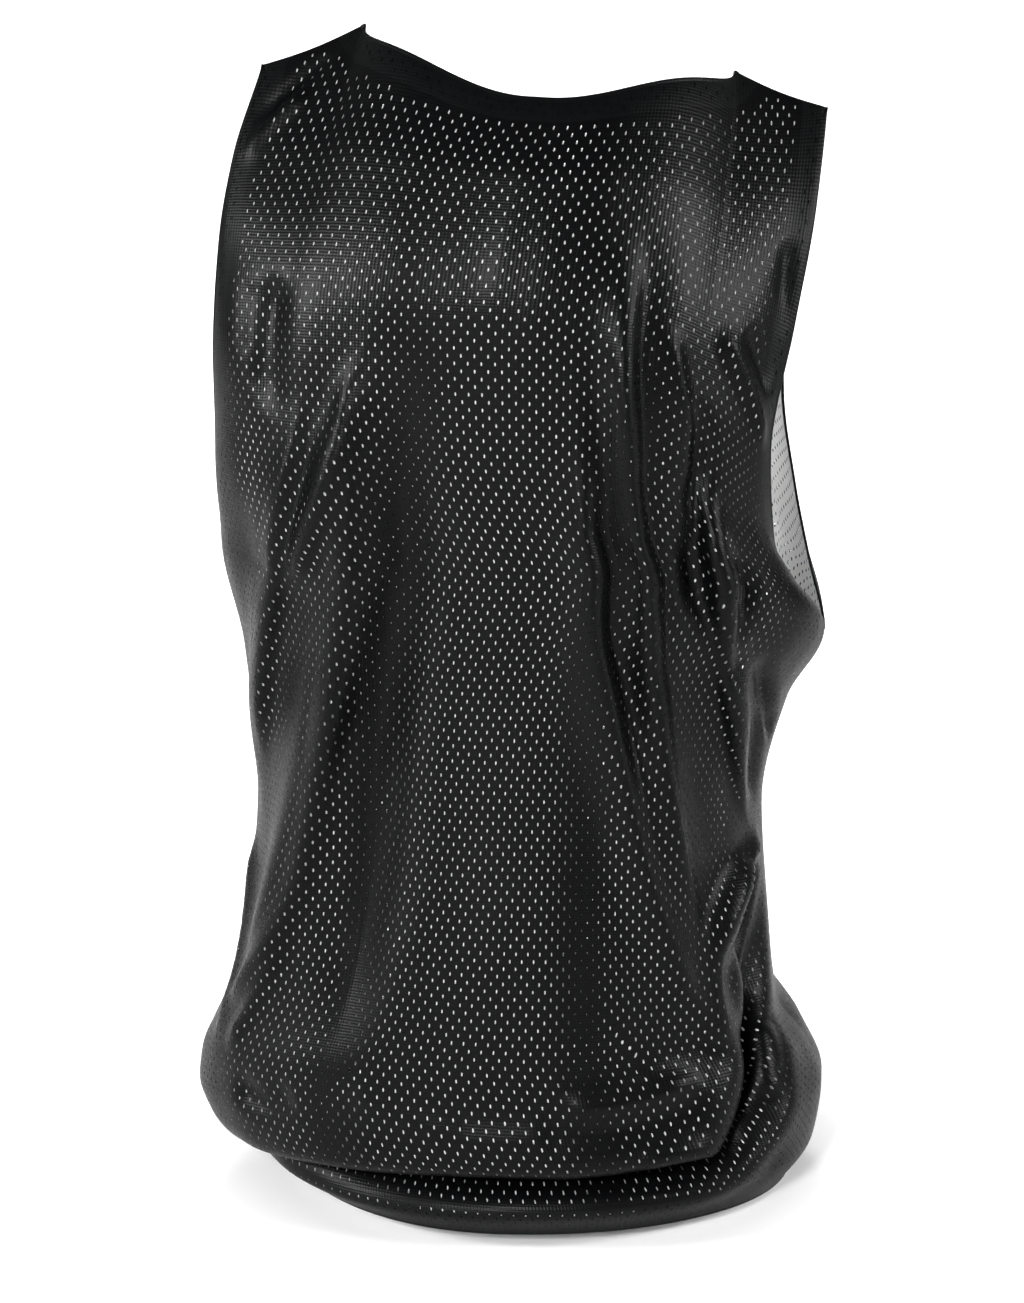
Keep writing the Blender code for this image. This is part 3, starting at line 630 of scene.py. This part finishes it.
def arm_ring(side):
    edge, seam = arm_edge(side), arm_seam(side)
    return ring(side_seam(UNDERARM - ARM_BAND, UNDERARM, 1), edge,
                shoulder(SHOULDER_HALF, SHOULDER_HALF - ARM_BAND), seam[::-1])


def neck_ring(side):
    edge, seam = neck_edge(side), neck_seam(side)
    return ring(edge, shoulder(-NECK_HALF, -NECK_HALF - NECK_BAND), seam[::-1],
                shoulder(NECK_HALF + NECK_BAND, NECK_HALF))


def hem_ring():
    return ring(dense([(-HALF_WIDTH, 0), (HALF_WIDTH, 0)], LINE), side_seam(0, HEM_BAND, 1),
                dense([(HALF_WIDTH, HEM_BAND), (-HALF_WIDTH, HEM_BAND)], LINE), side_seam(HEM_BAND, 0, -1))


# ---------------------------------------------------------------- cloth with holes
RIM = 0.7                # the least plain cloth between a cell and the ring


def deep_inside(poly, x, y, margin):
    """True where a point is inside the ring and at least margin from it."""
    hit = np.zeros(x.shape, bool)
    near = np.full(x.shape, 1e9)
    q = np.roll(poly, -1, axis=0)
    for (ax, ay), (bx, by) in zip(poly, q):
        cross = (ay > y) != (by > y)
        if ay != by:
            hit ^= cross & (x < ax + (y - ay) * (bx - ax) / (by - ay))
        ex, ey = bx - ax, by - ay
        t = np.clip(((x - ax) * ex + (y - ay) * ey) / max(ex * ex + ey * ey, 1e-9), 0, 1)
        near = np.minimum(near, (x - ax - t * ex) ** 2 + (y - ay - t * ey) ** 2)
    return hit & (near > margin * margin)


def whole_cells(poly, gu, gv, odd):
    """Which cells of the grid carry a whole hole: their six corners lie inside the ring."""
    ok = deep_inside(poly, gu, gv, RIM)
    six = np.ones(ok.shape, bool)[:-1, 1:-1]
    for dl in (0, 1):
        for dk in (-1, 0, 1):
            six &= ok[dl:ok.shape[0] - 1 + dl, 1 + dk:ok.shape[1] - 1 + dk]
    kept = np.zeros(ok.shape, bool)
    kept[:-1, 1:-1] = six & ~odd[:-1, 1:-1]
    return kept


def fill(poly, pts, free, is_cell):
    """Plain cloth between the last whole holes, whose free edges are given, and the ring."""
    ids = sorted({i for e in free for i in e})
    local = {g: i + len(poly) for i, g in enumerate(ids)}
    verts = [Vector((float(x), float(y))) for x, y in list(poly) + [pts[g] for g in ids]]
    lines = [(i, (i + 1) % len(poly)) for i in range(len(poly))]
    lines += [(local[a], local[b]) for a, b in free]
    out, _, tri, orig, *_ = delaunay_2d_cdt(verts, lines, [], 1, 1e-6)
    xy = np.array([(p.x, p.y) for p in out])
    whole, extra = {}, []
    for i, o in enumerate(orig):
        o = [k for k in o if k >= len(poly)]
        if o:
            whole[i] = ids[o[0] - len(poly)]
        else:
            whole[i] = len(pts) + len(extra)
            extra.append(xy[i])
    faces = [[whole[i] for i in f] for f in tri if not is_cell(xy[list(f)].mean(0))]
    return np.array(extra).reshape(-1, 2), faces


def mesh_cloth(poly, knit, ease=None):
    """Flat points and faces of a piece of knit mesh cut to a ring: real holes in a staggered grid."""
    pitch_u, pitch_v, first_u, first_v, half_u, half_v = knit
    du, dv = pitch_u / 2, pitch_v / 2
    l_lo, l_hi = int((poly[:, 1].min() - first_v) / dv) - 1, int((poly[:, 1].max() - first_v) / dv) + 2
    k_lo, k_hi = int((poly[:, 0].min() - first_u) / du) - 2, int((poly[:, 0].max() - first_u) / du) + 3
    ll, kk = np.meshgrid(np.arange(l_lo, l_hi + 1), np.arange(k_lo, k_hi + 1), indexing="ij")
    gu, gv = first_u + kk * pitch_u / 2, first_v + (ll - 0.5) * dv
    kept = whole_cells(poly, gu, gv, (kk - ll) % 2 == 1)
    rows, cols = np.where(kept)
    # corners of a cell: low left, low middle, low right, high right, high middle, high left
    corner = [(0, -1), (0, 0), (0, 1), (1, 1), (1, 0), (1, -1)]
    used = np.zeros(kept.shape, bool)
    for dl, dk in corner:
        used[rows + dl, cols + dk] = True
    number = -np.ones(kept.shape, int)
    number[used] = np.arange(used.sum())
    base = np.column_stack([gu[used], gv[used]])
    # the hole of a cell: its lowest and highest points and two on each side
    cu, cv = gu[rows, cols], gv[rows, cols] + dv / 2
    k = ease(cu, cv) if ease else np.ones(len(cu))
    shape = [(0, -1), (1, -0.5), (1, 0.5), (0, 1), (-1, 0.5), (-1, -0.5)]
    holes = np.stack([np.column_stack([cu + x * half_u * k, cv + y * half_v * k]) for x, y in shape], 1)
    pts = np.concatenate([base, holes.reshape(-1, 2)])
    c = [number[rows + dl, cols + dk] for dl, dk in corner]
    hole = len(base) + np.arange(len(rows))[:, None] * 6 + np.arange(6)[None, :]
    faces = []
    for m in range(6):
        n = (m + 1) % 6
        faces.append(np.column_stack([c[n], c[(m + 2) % 6], hole[:, n], hole[:, m]]))
    faces = np.concatenate(faces).tolist()
    edges = dict.fromkeys((p, q) for m in range(6) for p, q in zip(c[m].tolist(), c[(m + 1) % 6].tolist()))

    def is_cell(at):
        row = int(math.floor((at[1] - first_v) / dv + 0.5)) - l_lo
        col = (at[0] - first_u) / du - k_lo
        near = (int(math.floor(col)), int(math.floor(col)) + 1)
        return 0 <= row < kept.shape[0] and any(
            0 <= k < kept.shape[1] and kept[row, k] and abs(col - k) <= 1 for k in near)

    free = [e for e in edges if e[::-1] not in edges]
    extra, plain = fill(poly, pts, free, is_cell)
    return np.concatenate([pts, extra]), faces + plain


def turned(faces, pts, side):
    """Faces wound so that they look outward on this side of the body."""
    out = []
    for f in faces:
        p = pts[list(f)]
        a = 0.0
        for i in range(len(f)):
            x, y = p[i], p[(i + 1) % len(f)]
            a += x[0] * y[1] - x[1] * y[0]
        out.append(f[::-1] if (a > 0) == (side == "back") else f)
    return out


def build(name, parts, material, node_name):
    """One piece that stands for a node, from parts of (points in mm, faces, flat places, normals)."""
    verts, faces, flat, normals = [], [], [], []
    count = 0
    for p, f, uv, n_out in parts:
        verts.append(p)
        flat.append(uv)
        normals.append(n_out if n_out is not None else np.zeros((len(p), 3)))
        faces += [tuple(int(i) + count for i in q) for q in f]
        count += len(p)
    verts, flat = np.concatenate(verts) * MM, np.concatenate(flat)
    mesh = bpy.data.meshes.new(name)
    mesh.from_pydata(verts.tolist(), [], faces)
    mesh.update()
    cut = mesh.uv_layers.new(name="cut")
    loops = np.empty(len(mesh.loops), int)
    mesh.loops.foreach_get("vertex_index", loops)
    cut.data.foreach_set("uv", (flat[loops] * MM).ravel())
    mesh.materials.append(material)
    mesh.polygons.foreach_set("use_smooth", [True] * len(faces))
    # the form's own normals, or automatic ones where they are zero
    mesh.normals_split_custom_set_from_vertices(np.concatenate(normals).tolist())
    obj = bpy.data.objects.new(name, mesh)
    bpy.context.scene.collection.objects.link(obj)
    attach(obj, "root")
    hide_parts(node_name)
    return obj


# ---------------------------------------------------------------- materials
def node(tree, kind, x, y, **inputs):
    """A shader node at a place in its tree, with plain values on the inputs named."""
    n = tree.nodes.new(kind)
    n.location = (x, y)
    for key, value in inputs.items():
        n.inputs[key.replace("_", " ")].default_value = value
    return n


WALE_SCALE = 1 / 0.0011 / 20 * 3.2       # wales about 2.2 mm apart
COURSE_SCALE = 1 / 0.0009 / 20 * 3.2     # courses about 1.8 mm apart


def knit(name, colour, light, rough, sheen, specular, bump):
    """Fine warp knit: courses and wales from the cut's own coordinates, slight slubs, satin gloss."""
    m = bpy.data.materials.new(name)
    m.use_nodes = True
    t = m.node_tree
    s = t.nodes["Principled BSDF"]
    s.inputs["Sheen Weight"].default_value = sheen
    s.inputs["Sheen Roughness"].default_value = 0.4
    s.inputs["Sheen Tint"].default_value = (0.8, 0.86, 0.95, 1)
    s.inputs["Specular IOR Level"].default_value = specular
    uv = node(t, "ShaderNodeUVMap", -1300, 0)
    uv.uv_map = "cut"
    wales = node(t, "ShaderNodeTexWave", -900, 200, Scale=WALE_SCALE, Distortion=0.6, Detail=1.0)
    wales.bands_direction = "X"
    courses = node(t, "ShaderNodeTexWave", -900, -100, Scale=COURSE_SCALE, Distortion=0.8, Detail=1.0)
    courses.bands_direction = "Y"
    stretch = node(t, "ShaderNodeMapping", -1100, -400)
    stretch.inputs["Scale"].default_value = (70, 420, 1)
    slub = node(t, "ShaderNodeTexNoise", -900, -400, Scale=1.0, Detail=3.0, Roughness=0.6)
    soft = node(t, "ShaderNodeTexNoise", -900, -700, Scale=22.0, Detail=4.0, Roughness=0.55)
    t.links.new(uv.outputs[0], wales.inputs["Vector"])
    t.links.new(uv.outputs[0], courses.inputs["Vector"])
    t.links.new(uv.outputs[0], stretch.inputs["Vector"])
    t.links.new(stretch.outputs[0], slub.inputs["Vector"])
    t.links.new(uv.outputs[0], soft.inputs["Vector"])
    loops = node(t, "ShaderNodeMath", -650, 100)
    loops.operation = "ADD"
    t.links.new(wales.outputs["Fac"], loops.inputs[0])
    t.links.new(courses.outputs["Fac"], loops.inputs[1])
    relief = node(t, "ShaderNodeMath", -480, 0)
    relief.operation = "MULTIPLY_ADD"
    relief.inputs[1].default_value = 1.6
    t.links.new(slub.outputs["Fac"], relief.inputs[0])
    t.links.new(loops.outputs[0], relief.inputs[2])
    b = node(t, "ShaderNodeBump", -250, -200, Strength=bump, Distance=0.0003)
    t.links.new(relief.outputs[0], b.inputs["Height"])
    t.links.new(b.outputs[0], s.inputs["Normal"])
    ramp = node(t, "ShaderNodeValToRGB", -450, 300)
    ramp.color_ramp.elements[0].position = 0.3
    ramp.color_ramp.elements[0].color = (*colour, 1)
    ramp.color_ramp.elements[1].position = 0.75
    ramp.color_ramp.elements[1].color = (*light, 1)
    t.links.new(slub.outputs["Fac"], ramp.inputs[0])
    t.links.new(ramp.outputs[0], s.inputs["Base Color"])
    r = node(t, "ShaderNodeMapRange", -450, -500, To_Min=rough - 0.05, To_Max=rough + 0.07)
    t.links.new(soft.outputs["Fac"], r.inputs[0])
    t.links.new(r.outputs[0], s.inputs["Roughness"])
    return m


# columns: name, darker and lighter colour of the yarn, roughness, sheen, specular, bump
BLACK = knit("black_knit", (0.0009, 0.001, 0.0012), (0.0018, 0.002, 0.0023), 0.37, 0.0, 0.11, 0.2)
# painted sheen: the turned edges take a lighter copy of the black knit's colour, standing in for their sheen
SHEEN_BAND = knit("black_knit_turned_painted_sheen", (0.0012, 0.0014, 0.0016), (0.0024, 0.0027, 0.003), 0.42, 0.0, 0.12, 0.22)
WHITE = knit("white_knit", (0.86, 0.86, 0.86), (0.93, 0.93, 0.92), 0.65, 0.1, 0.3, 0.3)

# ---------------------------------------------------------------- pieces
# columns: pitch across, pitch up, first hole u, v, half width and half height of a hole
KNIT_BLACK = (7.7, 9.2, 4.3, 2.0, 0.5, 1.32)
KNIT_WHITE = (7.28, 9.2, 0.5, 2.0, 0.72, 1.5)
OUT, LINING, TURN = 0.42, -0.42, 0.02    # how far from the middle of the wall each layer lies
LIP = 0.85               # radius of a rolled edge
LINING_SHORT = 2.6       # the lining stops this far short of an open edge


def layer(side, off, pts, faces):
    """A layer of one side as a part: points, faces, flat places and normals."""
    return place(side, pts, off), turned(faces, pts, side), pts, facing(side, pts)


def area_of(poly):
    """Area inside a ring of the cut, in square metres."""
    q = np.roll(poly, -1, axis=0)
    return abs(float(np.sum(poly[:, 0] * q[:, 1] - poly[:, 1] * q[:, 0]))) / 2 * MM * MM


for side in ("back", "front"):
    area = area_of(panel_ring(side))
    pts, faces = mesh_cloth(panel_ring(side), KNIT_BLACK, shut_for_painted_shade)
    cloth = build(side + "_cloth", [layer(side, OUT, pts, faces)], BLACK, side + "_outer")
    pts, faces = mesh_cloth(whole_ring(side, LINING_SHORT), KNIT_WHITE)
    pts = hung(pts)
    lining = build(side + "_lining", [layer(side, LINING, pts, faces)], WHITE, side + "_inner")


def strip_part(side, a, b):
    """Plain cloth between two lines of the cut: the inside of a turned edge."""
    n = min(len(a), len(b))
    q = np.linspace(0, 1, n)
    lines = []
    for x in (a, b):
        run = np.linspace(0, 1, len(x))
        lines.append(np.column_stack([np.interp(q, run, x[:, 0]), np.interp(q, run, x[:, 1])]))
    pts = np.concatenate([lines[0] * (1 - t) + lines[1] * t for t in np.linspace(0, 1, 4)])
    faces = []
    for j in range(3):
        for i in range(n - 1):
            faces.append([j * n + i, j * n + i + 1, (j + 1) * n + i + 1, (j + 1) * n + i])
    return layer(side, TURN, pts, faces)


def lip_part(runs):
    """A rolled edge: runs of (side, line on the cut, line a little inside it)."""
    p, n, e, flat = [], [], [], []
    for side, line, inner in runs:
        p.append(place(side, line, 0))
        n.append(place(side, line, 1) - p[-1])
        d = p[-1] - place(side, inner, 0)
        e.append(d / np.linalg.norm(d, axis=1)[:, None])
        flat.append(line)
    # runs share their end points
    for x in (p, n, e):
        for k in range(len(x)):
            m = (x[k][-1] + x[(k + 1) % len(x)][0]) / 2
            x[k][-1] = m
            x[(k + 1) % len(x)][0] = m
    p, n, e, flat = (np.concatenate([q[:-1] for q in x]) for x in (p, n, e, flat))
    n /= np.linalg.norm(n, axis=1)[:, None]
    e /= np.linalg.norm(e, axis=1)[:, None]
    # places across the edge, mm: beyond the cut line, out from the middle of the wall
    profile = [(-2.4, OUT - 0.25), (-1.2, OUT + 0.12), (-0.2, LIP)]
    profile += [(LIP * math.sin(a), LIP * math.cos(a)) for a in np.radians([25, 60, 90, 120, 155])]
    profile += [(-0.2, -LIP), (-1.6, -LIP * 0.95), (-2.6, LINING - 0.12), (-3.0, LINING + 0.3)]
    rows = [p + e * x + n * y for x, y in profile]
    m, k = len(p), len(profile)
    pts = np.concatenate(rows)
    faces = []
    for j in range(k - 1):
        for i in range(m):
            faces.append([j * m + i, j * m + (i + 1) % m, (j + 1) * m + (i + 1) % m, (j + 1) * m + i])
    # wind outward: the second row's first face should look along its normal
    a, b, c = pts[faces[m][0]], pts[faces[m][1]], pts[faces[m][3]]
    if np.dot(np.cross(b - a, c - a), n[0]) < 0:
        faces = [f[::-1] for f in faces]
    return pts, faces, np.concatenate([flat] * k), None


EDGE_IN = 1.5            # a rolled edge takes its direction from this far inside the cut line


def band_parts(side, poly, edge, seam):
    """Both layers of a turned edge."""
    pts, faces = mesh_cloth(poly, KNIT_BLACK)
    return [layer(side, OUT, pts, faces), strip_part(side, edge, seam)]


def open_edge(name, node_name, shapes):
    """A turned edge round an opening, from (ring, edge, seam, line inside the edge) of each side."""
    parts, runs = [], []
    for side, (poly, edge, seam, inner) in shapes.items():
        parts += band_parts(side, poly, edge, seam)
        runs.append((side, edge, inner) if side == "back" else (side, edge[::-1], inner[::-1]))
    build(name, parts + [lip_part(runs)], SHEEN_BAND, node_name)


open_edge("neck_edge", "neck_band", {
    side: (neck_ring(side), neck_edge(side), neck_seam(side), inward(neck_edge(side), -EDGE_IN))
    for side in ("back", "front")})

left_arm = {side: (arm_ring(side), arm_edge(side), arm_seam(side), inward(arm_edge(side), -EDGE_IN))
            for side in ("back", "front")}
right_arm = {side: tuple(mirror(x) for x in shape) for side, shape in left_arm.items()}
open_edge("armhole_edge_left", "armhole_band_left", left_arm)
open_edge("armhole_edge_right", "armhole_band_right", right_arm)

# the hem's rolled edge is one ring, which goes with its back
for side in ("back", "front"):
    edge = dense([(HALF_WIDTH, 0), (-HALF_WIDTH, 0)], LINE)
    parts = band_parts(side, hem_ring(), edge, edge + (0, HEM_BAND))
    if side == "back":
        other = edge[::-1]
        parts.append(lip_part([("back", edge, edge + (0, EDGE_IN)), ("front", other, other + (0, EDGE_IN))]))
    build("hem_edge_" + side, parts, SHEEN_BAND, "hem_band_" + side)

# ---------------------------------------------------------------- stage, light, camera
LIFT = 0.0015            # the floor lies this far below the hem
HALF_STAGE, NEAR, FAR, COVE, TALL = 3.2, 3.5, -2.2, 0.8, 3.5


def stage_mesh(level):
    """A floor that curves up into a back wall."""
    prof = [(NEAR, level), (FAR, level)]
    for a in np.radians(np.arange(9, 91, 9)):
        prof.append((FAR - COVE * math.sin(a), level + COVE * (1 - math.cos(a))))
    prof += [(FAR - COVE, level + LIFT + TALL)]
    verts = [(x, y, z) for x in (-HALF_STAGE, HALF_STAGE) for y, z in prof]
    k = len(prof)
    mesh = bpy.data.meshes.new("floor")
    mesh.from_pydata(verts, [], [(i, i + 1, k + i + 1, k + i) for i in range(k - 1)])
    mesh.polygons.foreach_set("use_smooth", [True] * (k - 1))
    return mesh


def pale_floor_painted_shadow(low):
    """A table top that shines bright all round with light of its own, and has none where the jersey stands:
    painted shadow.
    """
    m = bpy.data.materials.new("pale_floor_painted_shadow")
    m.use_nodes = True
    t = m.node_tree
    base = t.nodes["Principled BSDF"]
    base.inputs["Base Color"].default_value = (0.9, 0.9, 0.9, 1)
    base.inputs["Roughness"].default_value = 0.9
    base.inputs["Emission Color"].default_value = (1, 1, 1, 1)
    spot = node(t, "ShaderNodeTexCoord", -1000, 0)
    fit = node(t, "ShaderNodeMapping", -800, 0, Location=(0.0, 0.0, -low * 0.2), Scale=(4.4, 5.2, 0.2))
    ball = node(t, "ShaderNodeVectorMath", -600, 0)
    ball.operation = "LENGTH"
    # painted shadow: emission is zero near the middle and rises outward, so the floor is dark under the
    # jersey
    glow_painted_shadow = node(t, "ShaderNodeMapRange", -400, 0, From_Min=0.6, From_Max=1.45, To_Min=0.0, To_Max=0.8)
    glow_painted_shadow.interpolation_type = "SMOOTHSTEP"
    t.links.new(spot.outputs["Object"], fit.inputs["Vector"])
    t.links.new(fit.outputs[0], ball.inputs[0])
    t.links.new(ball.outputs["Value"], glow_painted_shadow.inputs[0])
    # it looks white but throws little light back on the black cloth
    path = node(t, "ShaderNodeLightPath", -600, -300)
    share = node(t, "ShaderNodeMapRange", -400, -300, To_Min=0.15)
    lit = node(t, "ShaderNodeMath", -200, -100)
    lit.operation = "MULTIPLY"
    t.links.new(path.outputs["Is Camera Ray"], share.inputs[0])
    t.links.new(glow_painted_shadow.outputs[0], lit.inputs[0])
    t.links.new(share.outputs[0], lit.inputs[1])
    t.links.new(lit.outputs[0], base.inputs["Emission Strength"])
    return m


def studio():
    """Pale surroundings, with only a little light of their own."""
    world = bpy.data.worlds.new("studio")
    world.use_nodes = True
    t = world.node_tree
    dim = t.nodes["Background"]
    dim.inputs["Color"].default_value = (1, 1, 1, 1)
    dim.inputs["Strength"].default_value = 0.1
    pale = node(t, "ShaderNodeBackground", -200, -200, Color=(0.8, 0.8, 0.8, 1), Strength=1.0)
    seen = node(t, "ShaderNodeLightPath", -400, 200)
    pick = node(t, "ShaderNodeMixShader", 100, 0)
    t.links.new(seen.outputs["Is Camera Ray"], pick.inputs[0])
    t.links.new(dim.outputs[0], pick.inputs[1])
    t.links.new(pale.outputs[0], pick.inputs[2])
    t.links.new(pick.outputs[0], t.nodes["World Output"].inputs["Surface"])
    return world


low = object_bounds()[0][2]
floor = stage_mesh(low - LIFT)
floor.materials.append(pale_floor_painted_shadow(low))
stage = bpy.data.objects.new("floor", floor)
bpy.context.scene.collection.objects.link(stage)
bpy.context.scene.world = studio()
bpy.context.scene.view_settings.view_transform = "Standard"


def softbox(name, at, aim, size, power):
    """A rectangular light, in metres and watts."""
    data = bpy.data.lights.new(name, "AREA")
    data.shape = "RECTANGLE"
    data.size, data.size_y = size
    data.energy = power
    lamp = bpy.data.objects.new(name, data)
    lamp.location = at
    lamp.rotation_euler = (Vector(aim) - Vector(at)).to_track_quat("-Z", "Y").to_euler()
    bpy.context.scene.collection.objects.link(lamp)


softbox("front", (0.5, 2.3, 0.65), (0, 0, -0.2), (0.55, 0.45), 56)
softbox("left", (2.4, 0.85, 0.45), (0, 0, -0.1), (0.7, 0.5), 60)
softbox("right", (-2.4, 0.6, 0.55), (0, 0, -0.3), (0.8, 0.7), 50)
softbox("far_side", (0.5, -2.4, 0.6), (0, 0, -0.3), (0.7, 0.6), 40)

YAW, PITCH, REACH, EYE = math.radians(5), math.radians(17), 2.0, 0.24
cam = bpy.data.cameras.new("camera")
cam.sensor_width = 36.0
cam.lens = 93.27
cam.clip_end = 50
eye = bpy.data.objects.new("camera", cam)
eye.location = (-REACH * math.sin(YAW), REACH * math.cos(YAW), EYE)
look = Vector((math.sin(YAW) * math.cos(PITCH), -math.cos(YAW) * math.cos(PITCH), -math.sin(PITCH)))
eye.rotation_euler = look.to_track_quat("-Z", "Y").to_euler()
bpy.context.scene.collection.objects.link(eye)
bpy.context.scene.camera = eye
